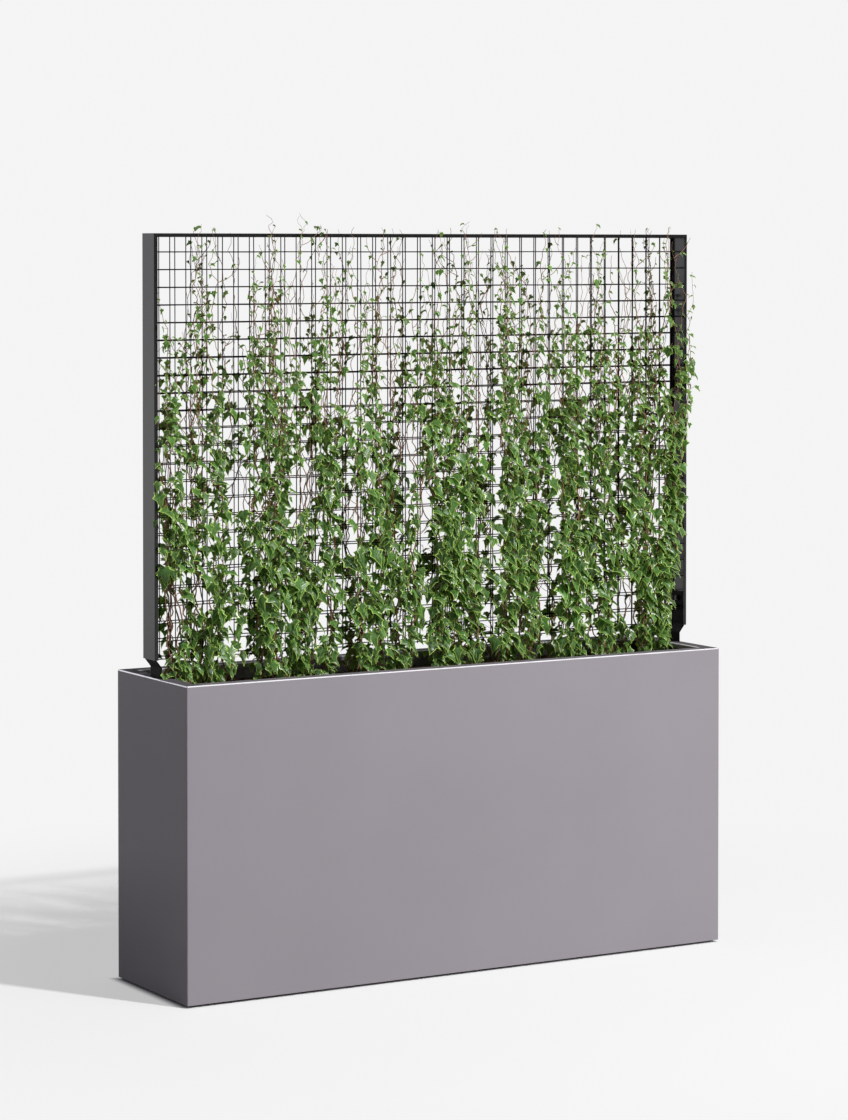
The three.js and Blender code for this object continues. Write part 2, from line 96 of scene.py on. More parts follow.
class Finish:
    """A material for one of the object's surfaces."""

    def __init__(self, name):
        self.material = bpy.data.materials.new(name)
        self.material.use_nodes = True
        self.tree = self.material.node_tree
        self.shader = self.tree.nodes["Principled BSDF"]
        self.output = self.tree.nodes["Material Output"]
        self.place = self.node("ShaderNodeTexCoord").outputs["Object"]

    def node(self, kind, **settings):
        made = self.tree.nodes.new(kind)
        for key, value in settings.items():
            setattr(made, key, value)
        return made

    def feed(self, socket, value):
        """Links an output to a socket, or sets a plain value on it."""
        if isinstance(value, bpy.types.NodeSocket):
            self.tree.links.new(value, socket)
        else:
            socket.default_value = value

    def maths(self, operation, first, second=0.0, third=0.0):
        made = self.node("ShaderNodeMath", operation=operation)
        for socket, value in zip(made.inputs, (first, second, third)):
            self.feed(socket, value)
        return made.outputs[0]

    def rise(self, value, low, high, to_low=0.0, to_high=1.0):
        """A smooth step: to_low up to low, and to_high from high on."""
        made = self.node("ShaderNodeMapRange", interpolation_type="SMOOTHSTEP")
        for socket, given in zip(made.inputs, (value, low, high, to_low, to_high)):
            self.feed(socket, given)
        return made.outputs[0]

    def noise(self, scale, detail=2.0, roughness=0.5, where=None):
        made = self.node("ShaderNodeTexNoise")
        self.feed(made.inputs["Vector"], where or self.place)
        made.inputs["Scale"].default_value = scale
        made.inputs["Detail"].default_value = detail
        made.inputs["Roughness"].default_value = roughness
        return made.outputs["Fac"]

    def mix(self, factor, first, second):
        made = self.node("ShaderNodeMix", data_type="RGBA")
        self.feed(made.inputs[0], factor)
        self.feed(made.inputs[6], first)
        self.feed(made.inputs[7], second)
        return made.outputs[2]

    def axes(self, vector=None):
        made = self.node("ShaderNodeSeparateXYZ")
        self.feed(made.inputs[0], vector or self.place)
        return made.outputs

    def attribute(self, name):
        return self.node("ShaderNodeAttribute", attribute_name=name).outputs["Fac"]

    def relief(self, height, depth, strength=1.0):
        """Bump of the given depth in metres, straight into the shader."""
        made = self.node("ShaderNodeBump")
        made.inputs["Strength"].default_value = strength
        made.inputs["Distance"].default_value = depth
        self.feed(made.inputs["Height"], height)
        self.feed(self.shader.inputs["Normal"], made.outputs["Normal"])

    def look(self, **sockets):
        """Sets shader sockets by name, with _ for a space."""
        for key, value in sockets.items():
            self.feed(self.shader.inputs[key.replace("_", " ")], value)


def repaint(finish, *names):
    """Gives CAD solids their finish. Their meshes are not touched."""
    for name in names:
        nodes[name].material_slots[0].material = finish.material
    print(finish.material.name, "on", len(names), "solids")


# %% [markdown]
# ## Planter paint
# The planter is powder coated in a warm mid grey. Powder melts into a fine orange peel of about a
# millimetre, and a big sheet is never quite even in tone. Along the fold over the rim a near-white painted
# highlight is laid into the coat's colour, and on the short ends that fold is also made metallic, so that it
# mirrors the pale room as a bright line. The fold is found by its height, because only the fold's arc lies
# between the wall and the flat rim. The rim's top is dull, and is painted darker than the walls as painted
# shade, and darker still at its ends as more painted shade. Random smears of dirt lie over it too.

# %% Planter paint
RIM_TOP = 0.890
FOLD_FOOT = 0.8866
FOLD_BLUR = 0.0008
PAINT_LOW = chip(151, 145, 152)
PAINT_HIGH = chip(160, 154, 161)
# painted highlight: a near-white line laid along the rim's fold, in place of the light that the fold catches
PAINT_HIGHLIGHT = chip(243, 241, 244)
# painted shade: the rim's top is made darker than the walls
PAINT_RIM_SHADE = chip(122, 117, 122)
# more painted shade at the rim's ends, and the colour of the random dirt smears on the rim
PAINT_RIM_DIRT_AND_SHADE = chip(92, 88, 91)
RIM_END = 0.846  # the short sides of the rim begin here, left and right of the middle
# from here the painted highlight on the end walls' fold is made metallic, so that it mirrors the pale room
MIRRORED_FOLD_FROM = 0.887  # and here begins the fold of the end walls
PAINT_SHEEN = (0.17, 0.22)  # roughness of the walls
RIM_ROUGHNESS = 0.9
PAINT_MIRROR = 0.16
PEEL_SIZE = 700
PEEL_DEPTH = 0.00005
PEEL_STRENGTH = 0.12

planter_paint = Finish("planter_paint")
height = planter_paint.axes()[2]
cloud = planter_paint.noise(2.6, detail=4)
fold = planter_paint.maths(
    "MULTIPLY",
    planter_paint.rise(height, FOLD_FOOT, FOLD_FOOT + FOLD_BLUR),
    planter_paint.rise(height, RIM_TOP - 0.0002, RIM_TOP - 0.00005, 1.0, 0.0),
)
# painted highlight along the fold, broken up a little by noise
highlight_breaks = planter_paint.rise(planter_paint.noise(22), 0.3, 0.55, 0.75, 1.0)
painted_highlight = planter_paint.maths("MULTIPLY", fold, highlight_breaks)
grey = planter_paint.mix(cloud, PAINT_LOW, PAINT_HIGH)
on_rim = planter_paint.rise(height, RIM_TOP - 0.00008, RIM_TOP - 0.00002)
# the rim's top: painted shade all over, more painted shade at its ends, and random smears of dirt
smears = planter_paint.rise(planter_paint.noise(34, detail=6, roughness=0.65), 0.4, 0.7, 0.0, 0.5)
along = planter_paint.maths("ABSOLUTE", planter_paint.axes()[0])
rim_dirt_and_shade = planter_paint.maths("MAXIMUM", smears, planter_paint.rise(along, RIM_END - 0.02, RIM_END + 0.006))
grey = planter_paint.mix(on_rim, grey, planter_paint.mix(rim_dirt_and_shade, PAINT_RIM_SHADE, PAINT_RIM_DIRT_AND_SHADE))
sheen = planter_paint.rise(planter_paint.noise(60, detail=3), 0.2, 0.8, *PAINT_SHEEN)
planter_paint.look(
    Base_Color=planter_paint.mix(painted_highlight, grey, PAINT_HIGHLIGHT),
    Metallic=planter_paint.maths("MULTIPLY", painted_highlight, planter_paint.rise(along, MIRRORED_FOLD_FROM, MIRRORED_FOLD_FROM + 0.002)),
    Roughness=planter_paint.rise(on_rim, 0.0, 1.0, sheen, RIM_ROUGHNESS),
    Specular_IOR_Level=PAINT_MIRROR,
)
planter_paint.relief(planter_paint.noise(PEEL_SIZE, detail=1), PEEL_DEPTH, PEEL_STRENGTH)
repaint(
    planter_paint,
    "planter_shell", "base_plate", "cross_tie_left", "cross_tie_right",
    "leg_bracket_left", "leg_bracket_right",
)

# %% [markdown]
# ## Frame paint
# The frame is powder coated black, with a little more gloss. Its sides show that gloss: seen at a slant they
# mirror the pale surroundings and look grey, while the flanges stay black. The legs and the wires have the
# same black as a dull coat, which mirrors little.

# %% Frame paint
BLACK_LOW = chip(12, 12, 13)
BLACK_HIGH = chip(19, 19, 20)
MATT_LOW = chip(14, 14, 14)
MATT_HIGH = chip(26, 25, 25)
FRAME_SHEEN = (0.2, 0.26)
FRAME_IOR = 1.6
DULL_SHEEN = (0.5, 0.62)
DULL_MIRROR = 0.08

frame_paint = Finish("frame_paint")
speckle = frame_paint.noise(30, detail=4)
frame_paint.look(
    Base_Color=frame_paint.mix(speckle, BLACK_LOW, BLACK_HIGH),
    Roughness=frame_paint.rise(frame_paint.noise(90, detail=3), 0.25, 0.75, *FRAME_SHEEN),
    IOR=FRAME_IOR,
)
frame_paint.relief(frame_paint.noise(900, detail=1), 0.00004, 0.1)
repaint(frame_paint, "post_left", "post_right", "top_rail")

wire_coat = Finish("wire_coat")
wire_coat.look(
    Base_Color=wire_coat.mix(wire_coat.noise(60, detail=4), MATT_LOW, MATT_HIGH),
    Roughness=wire_coat.rise(wire_coat.noise(120, detail=3), 0.25, 0.75, *DULL_SHEEN),
    Specular_IOR_Level=DULL_MIRROR,
)
wire_coat.relief(wire_coat.noise(1400, detail=2), 0.0001, 0.3)
repaint(wire_coat, "leg_left", "leg_right")

# %% [markdown]
# ## The small parts
# The nuts are blackened steel: dark metal with a faint wear. The floor strips are moulded in black plastic,
# dull and slightly grained. The granules under the soil are fired clay, a rough red brown.

# %% Nuts, floor strips and granules
nut_steel = Finish("nut_steel")
nut_steel.look(
    Base_Color=nut_steel.mix(nut_steel.noise(400, detail=3), chip(70, 70, 72), chip(110, 109, 108)),
    Metallic=1.0,
    Roughness=nut_steel.rise(nut_steel.noise(700, detail=3), 0.3, 0.7, 0.3, 0.48),
)
ends = ("left_1", "left_2", "right_1", "right_2")
repaint(nut_steel, *[f"{place}_nut_{end}" for place in ("post", "bracket") for end in ends])

strip_plastic = Finish("strip_plastic")
grain = strip_plastic.noise(650, detail=4, roughness=0.6)
strip_plastic.look(
    Base_Color=strip_plastic.mix(grain, chip(30, 30, 31), chip(44, 43, 43)),
    Roughness=strip_plastic.rise(grain, 0.3, 0.7, 0.7, 0.85),
)
strip_plastic.relief(grain, 0.0002, 0.5)
repaint(strip_plastic, *[f"floor_strip_{place}" for place in ("front", "back", "left", "right", "centre")])

GRANULES_PER_METRE = 85
clay = Finish("clay_granules")
cells = clay.node("ShaderNodeTexVoronoi")
clay.feed(cells.inputs["Vector"], clay.place)
cells.inputs["Scale"].default_value = GRANULES_PER_METRE
clay.look(
    Base_Color=clay.mix(clay.noise(120, detail=4), chip(120, 72, 48), chip(166, 112, 80)),
    Roughness=clay.rise(cells.outputs["Distance"], 0.0, 0.6, 0.95, 0.8),
)
clay.relief(clay.maths("SUBTRACT", 1.0, cells.outputs["Distance"]), 0.006, 0.8)
repaint(clay, "drainage_layer")

# %% [markdown]
# ## Shapes that repeat
# A wire, a leaf and a crumb of bark are each modelled once with bmesh operators, as a small template. A
# template is then stamped many times into one mesh, with a matrix for each copy. Joining thousands of
# objects would give the same mesh far more slowly.


# %% Templates and stamping
def into_template(form, rim=None, bend=None):
    """A finished bmesh as arrays: points, triangles, a flat chart and rim values. The bmesh is freed.

    The chart and the rim values are taken before bend moves the points.
    """
    bmesh.ops.triangulate(form, faces=form.faces[:])
    form.verts.ensure_lookup_table()
    chart = np.array([(v.co.x, v.co.z) for v in form.verts])
    marks = np.array([rim(v.co) if rim else 0.0 for v in form.verts])
    points = np.array([bend(v.co) if bend else v.co[:] for v in form.verts])
    faces = np.array([[v.index for v in f.verts] for f in form.faces])
    form.free()
    return {"points": points, "faces": faces, "marks": marks, "chart": chart}


def stamped(name, template, matrices, tones, finish, smooth=True):
    """One object that holds a copy of the template for each matrix, with a tone value for each copy."""
    matrices = np.asarray(matrices)
    count, size = len(matrices), len(template["points"])
    flat = np.c_[template["points"], np.ones(size)]
    points = np.einsum("nij,vj->nvi", matrices, flat)[:, :, :3].reshape(-1, 3)
    faces = (template["faces"][None] + (np.arange(count) * size)[:, None, None]).reshape(-1, 3)
    return solid_from(
        name, points, faces, finish, smooth,
        tone=np.repeat(tones, size),
        rim=np.tile(template["marks"], count),
        chart=np.tile(template["chart"], (count, 1)),
    )


def solid_from(name, points, faces, finish, smooth, tone=None, rim=None, chart=None):
    """A triangle mesh as a finished piece on the body, with its attributes."""
    mesh = bpy.data.meshes.new(name)
    mesh.vertices.add(len(points))
    mesh.vertices.foreach_set("co", np.ravel(points).astype(np.float32))
    mesh.loops.add(faces.size)
    mesh.loops.foreach_set("vertex_index", np.ravel(faces).astype(np.int32))
    mesh.polygons.add(len(faces))
    mesh.polygons.foreach_set("loop_start", np.arange(0, faces.size, 3, dtype=np.int32))
    mesh.polygons.foreach_set("use_smooth", np.full(len(faces), smooth))
    mesh.update(calc_edges=True)
    for word, values in (("tone", tone), ("rim", rim)):
        if values is not None:
            mesh.attributes.new(word, "FLOAT", "POINT").data.foreach_set("value", values.astype(np.float32))
    if chart is not None:
        layer = mesh.uv_layers.new(name="chart")
        layer.data.foreach_set("uv", np.ravel(chart[np.ravel(faces)]).astype(np.float32))
    return finished(name, mesh, finish)


def finished(name, mesh, finish):
    """Puts a mesh in the scene as a piece that rides on the body and wears its finish."""
    mesh.materials.append(finish.material)
    piece = bpy.data.objects.new(name, mesh)
    bpy.context.scene.collection.objects.link(piece)
    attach(piece, "root")
    print(name, "has", len(mesh.polygons), "faces")
    return piece


# %% [markdown]
# ## The welded meshes
# The real mesh is round wire of 3 mm, welded wherever a row crosses a column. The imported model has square
# wire. One straight wire is a thin cone with equal ends, cut into short lengths so that it can bend. Each
# copy then gets a slight wave, because a welded panel is never dead straight. The columns lie on the mesh's
# outer side and sink a little into the rows behind them, as a weld does.

# %% The welded meshes
WIRE_RADIUS = 0.0015
WIRE_SIDES = 8
MESH_PITCH = 0.05
ROW_COUNT = 24
LOWEST_ROW = 0.003  # above the mesh's lower end
HIGHEST_ROW = 0.049  # below its upper end
COLUMNS_EACH_SIDE = 17  # of the one in the middle
ROW_CUTS, COLUMN_CUTS = 23, 15
WELD_SINK = 0.0004
WIRE_WAVE = 0.0005
WAVE_TURNS = (5, 16)  # radians for each metre of wire


def wire_template(length, cuts):
    """A straight wire along Z, centred, with rings along it."""
    form = bmesh.new()
    bmesh.ops.create_cone(
        form, cap_ends=True, segments=WIRE_SIDES, radius1=WIRE_RADIUS, radius2=WIRE_RADIUS, depth=length
    )
    long_edges = [e for e in form.edges if abs(e.verts[0].co.z - e.verts[1].co.z) > length / 2]
    bmesh.ops.subdivide_edges(form, edges=long_edges, cuts=cuts)
    return into_template(form)


def wavy(template, matrices, rng):
    """Copies of a wire, each bent by its own two slow waves across its length."""
    points, faces = [], []
    for number, matrix in enumerate(matrices):
        bent = template["points"].copy()
        for axis in (0, 1):
            phase, turns = rng.uniform(0, 2 * math.pi), rng.uniform(*WAVE_TURNS)
            bent[:, axis] += WIRE_WAVE * rng.uniform(0.3, 1) * np.sin(phase + turns * bent[:, 2])
        points.append(bent @ np.array(matrix.to_3x3()).T + np.array(matrix.translation))
        faces.append(template["faces"] + number * len(bent))
    return np.concatenate(points), np.concatenate(faces)


def welded_mesh(node, side):
    """All the wires of one mesh as one piece. side is -1 for the front and 1 for the back."""
    low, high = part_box(node)
    rng = np.random.default_rng(11 + side)
    outer_y = low[1] if side < 0 else high[1]
    column_y = outer_y - side * WIRE_RADIUS
    row_y = column_y - side * (2 * WIRE_RADIUS - WELD_SINK)
    row = wire_template(high[0] - low[0], ROW_CUTS)
    lying = Matrix.Rotation(math.pi / 2, 4, "Y")
    levels = np.linspace(low[2] + LOWEST_ROW, high[2] - HIGHEST_ROW, ROW_COUNT)
    rows = wavy(row, [Matrix.Translation((0, row_y, z)) @ lying for z in levels], rng)
    column = wire_template(high[2] - low[2], COLUMN_CUTS)
    middle = (low[2] + high[2]) / 2
    places = np.arange(-COLUMNS_EACH_SIDE, COLUMNS_EACH_SIDE + 1) * MESH_PITCH
    columns = wavy(column, [Matrix.Translation((x, column_y, middle)) for x in places], rng)
    points = np.concatenate([rows[0], columns[0]])
    faces = np.concatenate([rows[1], columns[1] + len(rows[0])])
    piece = solid_from(f"welded_{node}", points, faces, wire_coat, True)
    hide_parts(node)


welded_mesh("mesh_front", -1)
welded_mesh("mesh_back", 1)

# %% [markdown]
# ## The soil
# Compost is dark, crumbly and slightly uneven. The top is a fine grid pushed up and down by layered noise,
# closed down to a flat underside that sinks into the packed soil. Bark chips lie on it.

# %% Soil finish
compost = Finish("compost")
clods = compost.noise(55, detail=8, roughness=0.7)
specks = compost.rise(compost.noise(420, detail=2), 0.66, 0.74)
earth = compost.mix(clods, chip(34, 25, 19), chip(82, 62, 47))
compost.look(Base_Color=compost.mix(specks, earth, chip(124, 98, 74)), Roughness=0.95)
compost.relief(compost.noise(260, detail=6, roughness=0.7), 0.004, 0.8)
repaint(compost, "soil")

bark = Finish("bark_chips")
fibre = bark.noise(180, detail=5, roughness=0.65)
bark_low = bark.mix(bark.attribute("tone"), chip(52, 36, 26), chip(96, 68, 48))
bark.look(Base_Color=bark.mix(fibre, bark_low, chip(132, 100, 74)), Roughness=0.85)
bark.relief(fibre, 0.0008, 0.7)

# %% The soil's crust
SOIL_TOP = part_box("soil")[1][2]
BED_X, BED_Y = 0.853, 0.2165  # half the bed's length and depth
BED_CELLS = (300, 76)
CRUST_FOOT = SOIL_TOP - 0.004
CRUST_RISE = 0.006
CRUST_LEAST = 0.0006
HEAPS = (7, 0.006)  # how many to the metre, and how high
CRUMBS = (60, 0.0028)


def soil_height(x, y):
    """How high the crumbly surface stands above the packed soil."""
    spot = Vector((x, y, 0.0))
    heap = noise.fractal(spot * HEAPS[0], 1.0, 2.0, 3) * HEAPS[1]
    crumbs = noise.fractal(spot * CRUMBS[0] + Vector((9, 4, 1)), 0.8, 2.1, 3) * CRUMBS[1]
    return max(SOIL_TOP + CRUST_RISE + heap + crumbs, SOIL_TOP + CRUST_LEAST)


crust = bmesh.new()
bmesh.ops.create_grid(crust, x_segments=BED_CELLS[0], y_segments=BED_CELLS[1], size=1.0)
bmesh.ops.scale(crust, vec=(BED_X, BED_Y, 1), verts=crust.verts[:])
for vert in crust.verts:
    vert.co.z = soil_height(vert.co.x, vert.co.y)
border = [e for e in crust.edges if e.is_boundary]
hem = bmesh.ops.extrude_edge_only(crust, edges=border)["geom"]
for vert in [g for g in hem if isinstance(g, bmesh.types.BMVert)]:
    vert.co.z = CRUST_FOOT
bmesh.ops.holes_fill(crust, edges=[e for e in crust.edges if e.is_boundary])
bmesh.ops.recalc_face_normals(crust, faces=crust.faces[:])
crust_mesh = bpy.data.meshes.new("soil_crust")
crust.to_mesh(crust_mesh)
crust.free()
crust_mesh.polygons.foreach_set("use_smooth", np.ones(len(crust_mesh.polygons), dtype=bool))
finished("soil_crust", crust_mesh, compost)

# %% Bark chips
CHIP_COUNT = 700
CHIP_SIZE = (0.0016, 0.0058)
CHIP_LUMPS = 0.35
chip_form = bmesh.new()
bmesh.ops.create_icosphere(chip_form, subdivisions=1, radius=1)
for vert in chip_form.verts:
    vert.co *= 1 + CHIP_LUMPS * noise.noise(vert.co * 1.7)
chip_template = into_template(chip_form)
rng = np.random.default_rng(5)
chip_places = []
for _ in range(CHIP_COUNT):
    x, y = rng.uniform(-0.84, 0.84), rng.uniform(-0.2, 0.2)
    size = rng.uniform(*CHIP_SIZE)
    turn = Matrix.Rotation(rng.uniform(0, 6.28), 4, "Z") @ Matrix.Rotation(rng.uniform(-0.5, 0.5), 4, "X")
    shape = Matrix.Diagonal((size * rng.uniform(1, 2.2), size, size * rng.uniform(0.3, 0.6), 1))
    chip_places.append(Matrix.Translation((x, y, soil_height(x, y))) @ turn @ shape)
chip_tones = rng.uniform(0, 1, CHIP_COUNT)
stamped("bark_chips", chip_template, chip_places, chip_tones, bark, smooth=False)

# %% [markdown]
# ## One ivy leaf
# An ivy leaf hangs from its stalk: a long pointed middle lobe, a shorter lobe at each side, and two round
# ones by the stalk. One half is drawn flat as a fan of faces between the midrib and the outline, and is
# then mirrored. The flat blade is bent last: its midrib arches out from the stalk and down, and its sides
# fall away from the midrib, which catches the light. Four such templates are enough, since every copy gets
# its own size, turn and tone.

# %% Leaf templates
# Right half of the outline, from the stalk round to the tip, as (across, down) for a leaf of length 1.
BROAD = [(0.08, -0.12), (0.27, -0.20), (0.31, 0.0), (0.52, 0.14), (0.24, 0.35), (0.18, 0.57), (0.06, 0.82)]
ARROW = [(0.07, -0.11), (0.23, -0.19), (0.26, 0.02), (0.43, 0.17), (0.20, 0.38), (0.15, 0.60), (0.05, 0.83)]
SLIM = [(0.06, -0.08), (0.17, -0.13), (0.20, 0.06), (0.31, 0.20), (0.17, 0.42), (0.12, 0.64), (0.05, 0.84)]
MIDRIB = [0.0, 0.19, 0.40, 0.62]


def leaf_template(outline, start, end, fold, ripple=0.03):
    """A blade from its stalk at the origin, outwards along -Y and then down.

    start and end are the angles under the horizontal at which the midrib leaves the stalk and ends. fold is
    how far the sides fall away from it, and ripple how far the blade waves.
    """
    form = bmesh.new()
    rib = [form.verts.new((0, 0, -d)) for d in MIDRIB]
    edge = [form.verts.new((x, 0, -d)) for x, d in outline]
    tip = form.verts.new((0, 0, -1))
    fan = [
        (rib[0], edge[0], edge[1]), (rib[0], edge[1], edge[2]), (rib[0], edge[2], rib[1]),
        (rib[1], edge[2], edge[3]), (rib[1], edge[3], rib[2]), (rib[2], edge[3], edge[4]),
        (rib[2], edge[4], rib[3]), (rib[3], edge[4], edge[5]), (rib[3], edge[5], edge[6]),
        (rib[3], edge[6], tip),
    ]
    for corners in fan:
        form.faces.new(corners)
    half = form.verts[:] + form.edges[:] + form.faces[:]
    bmesh.ops.mirror(form, geom=half, axis="X", merge_dist=0.0001)
    bmesh.ops.remove_doubles(form, verts=form.verts[:], dist=0.0001)
    bmesh.ops.recalc_face_normals(form, faces=form.faces[:])
    if sum(f.normal.y for f in form.faces) > 0:
        bmesh.ops.reverse_faces(form, faces=form.faces[:])
    inner = {round(d, 3) for d in MIDRIB}

    def rim(point):
        return 0.0 if abs(point.x) < 0.001 and round(-point.z, 3) in inner else 1.0

    def bend(point):
        across, down = abs(point.x), -point.z
        turn = end - start
        here = start + turn * down
        out = (math.sin(here) - math.sin(start)) / turn
        drop = (math.cos(start) - math.cos(here)) / turn
        sag = fold * across + ripple * math.sin(7 * down + 5 * point.x)
        return (point.x, -out + sag * math.sin(here), -drop - sag * math.cos(here))

    return into_template(form, rim, bend)


LEAVES = [
    leaf_template(ARROW, 0.25, 1.75, 0.45),
    leaf_template(BROAD, 0.75, 1.65, 0.38),
    leaf_template(ARROW, 1.05, 1.40, -0.22),
    leaf_template(SLIM, 0.55, 1.45, 0.60),
]
print("leaf templates with", [len(t["faces"]) for t in LEAVES], "faces")

# %% [markdown]
# ## Leaf finish
# An ivy leaf is dark, waxy green with paler veins that fan out from the stalk, and here a thin bright
# yellow-green rim, which is partly the leaf's paler margin and partly a painted highlight along its edge. The
# veins are straight lines through the stalk end, measured on the leaf's own map, and the rim comes from a
# value that is 0 on the midrib and 1 on the outline. Some light passes through the blade, so a little of a
# translucent shader is mixed in.

# %% Leaf finish
SIDE_VEINS = ((1.15, 0.016), (1.85, 0.013), (0.45, 0.011))  # angle to the midrib, and width
VEIN_SHARE = 0.55
MOTTLE_SHARE = 0.40
# the ivy's bright rim is partly the leaf's paler margin and partly a painted highlight along its edge
RIM_SHARE = 0.92
RIM_FROM, RIM_TO = 0.76, 0.91
RIB_TURNS = 46  # radians for each leaf length
LIGHT_THROUGH = 0.22


def leaf_finish(name, dark, light, vein_colour, rim_colour, through_colour, shine):
    leaf = Finish(name)
    chart = leaf.node("ShaderNodeUVMap", uv_map="chart").outputs["UV"]
    across, up, _ = leaf.axes(chart)
    across = leaf.maths("ABSOLUTE", across)
    veins = leaf.rise(across, 0.006, 0.024, 1.0, 0.0)
    for angle, width in SIDE_VEINS:
        run = leaf.maths("MULTIPLY", across, math.cos(angle))
        beside = leaf.maths("ABSOLUTE", leaf.maths("ADD", run, leaf.maths("MULTIPLY", up, math.sin(angle))))
        veins = leaf.maths("MAXIMUM", veins, leaf.rise(beside, width / 3, width, 0.8, 0.0))
    slope = leaf.maths("ADD", up, leaf.maths("MULTIPLY", across, -0.8))
    ribs = leaf.maths("SINE", leaf.maths("MULTIPLY", slope, RIB_TURNS))
    tone = leaf.attribute("tone")
    mottle = leaf.noise(95, detail=4, roughness=0.6)
    body = leaf.mix(leaf.rise(mottle, 0.35, 0.7, 0.0, MOTTLE_SHARE), leaf.mix(tone, dark, light), vein_colour)
    body = leaf.mix(leaf.maths("MULTIPLY", veins, VEIN_SHARE), body, vein_colour)
    edge = leaf.rise(leaf.attribute("rim"), RIM_FROM, RIM_TO)
    colour = leaf.mix(leaf.maths("MULTIPLY", edge, RIM_SHARE), body, rim_colour)
    leaf.look(
        Base_Color=colour,
        Roughness=leaf.rise(mottle, 0.3, 0.7, shine, shine + 0.14),
    )
    height = leaf.maths("ADD", leaf.maths("MULTIPLY", veins, -1.0), leaf.maths("MULTIPLY", ribs, 0.12))
    leaf.relief(height, 0.0012, 0.5)
    behind = leaf.node("ShaderNodeBsdfTranslucent")
    leaf.feed(behind.inputs["Color"], leaf.mix(0.5, colour, through_colour))
    both = leaf.node("ShaderNodeMixShader")
    both.inputs[0].default_value = LIGHT_THROUGH
    leaf.feed(both.inputs[1], leaf.shader.outputs[0])
    leaf.feed(both.inputs[2], behind.outputs[0])
    leaf.feed(leaf.output.inputs["Surface"], both.outputs[0])
    return leaf


# its rim colour is partly the leaf's pale margin and partly a painted highlight
ivy_leaf = leaf_finish(
    "ivy_leaf",
    dark=chip(18, 47, 22), light=chip(88, 136, 60), vein_colour=chip(130, 171, 99),
    rim_colour=chip(214, 246, 122), through_colour=chip(160, 212, 66), shine=0.26,
)
dry_leaf = leaf_finish(
    "dry_leaf",
    dark=chip(84, 56, 32), light=chip(132, 96, 58), vein_colour=chip(150, 118, 78),
    rim_colour=chip(120, 90, 58), through_colour=chip(150, 110, 60), shine=0.6,
)

stem_bark = Finish("stem_bark")
ridges = stem_bark.noise(340, detail=5, roughness=0.65)
shade = stem_bark.mix(stem_bark.attribute("tone"), chip(80, 52, 37), chip(156, 114, 88))
stem_bark.look(Base_Color=stem_bark.mix(ridges, shade, chip(166, 126, 100)), Roughness=0.7)
stem_bark.relief(ridges, 0.0006, 0.7)

# %% [markdown]
# ## Fallen leaves
# Old leaves drop and dry on the soil. They are the broad blade again, bent so little that it lies flat, in a
# brown version of the leaf's finish.

# %% Fallen leaves
FALLEN_COUNT = 60
FALLEN_SIZE = (0.026, 0.042)
fallen_form = leaf_template(BROAD, -0.15, 0.3, 0.25)
rng = np.random.default_rng(8)
fallen_places = []
for _ in range(FALLEN_COUNT):
    x, y = rng.uniform(-0.82, 0.82), rng.choice([-1, 1]) * rng.uniform(0.06, 0.19)
    turn = Matrix.Rotation(rng.uniform(0, 6.28), 4, "Z") @ Matrix.Rotation(rng.normal(0, 0.12), 4, "X")
    lying = Matrix.Translation((x, y, soil_height(x, y) + 0.004)) @ turn
    fallen_places.append(lying @ Matrix.Scale(rng.uniform(*FALLEN_SIZE), 4))
stamped("fallen_leaves", fallen_form, fallen_places, rng.uniform(0, 1, FALLEN_COUNT), dry_leaf)

# %% [markdown]
# ## How the ivy grows
# Each plant sends up seven to twelve stems that wander, kink and weave on and through the mesh. Leaves sit
# along a stem on thin stalks, left and right in turn, hanging outwards like shingles. Low down they are
# large and dense, and near the top small and sparse. A seeded random generator draws every stem, so the
# plants come out the same each time.

# %% The ivy's measures
MESH_FACE = 0.037  # from the trellis's middle plane to the outside of a mesh
RAIL_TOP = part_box("top_rail")[1][2]
# Height, and there: leaf length, spacing of the leaves on a stem, and how far the leaves stand out.
GROWTH = np.array([
    [0.83, 0.030, 0.0104, 0.045],
    [0.95, 0.035, 0.0104, 0.062],
    [1.10, 0.036, 0.0108, 0.068],
    [1.35, 0.034, 0.0112, 0.062],
    [1.50, 0.031, 0.0120, 0.052],
    [1.65, 0.028, 0.0132, 0.042],
    [1.80, 0.021, 0.0195, 0.034],
    [2.00, 0.016, 0.0260, 0.026],
    [2.12, 0.014, 0.0420, 0.020],
    [2.25, 0.012, 0.0700, 0.018],
])
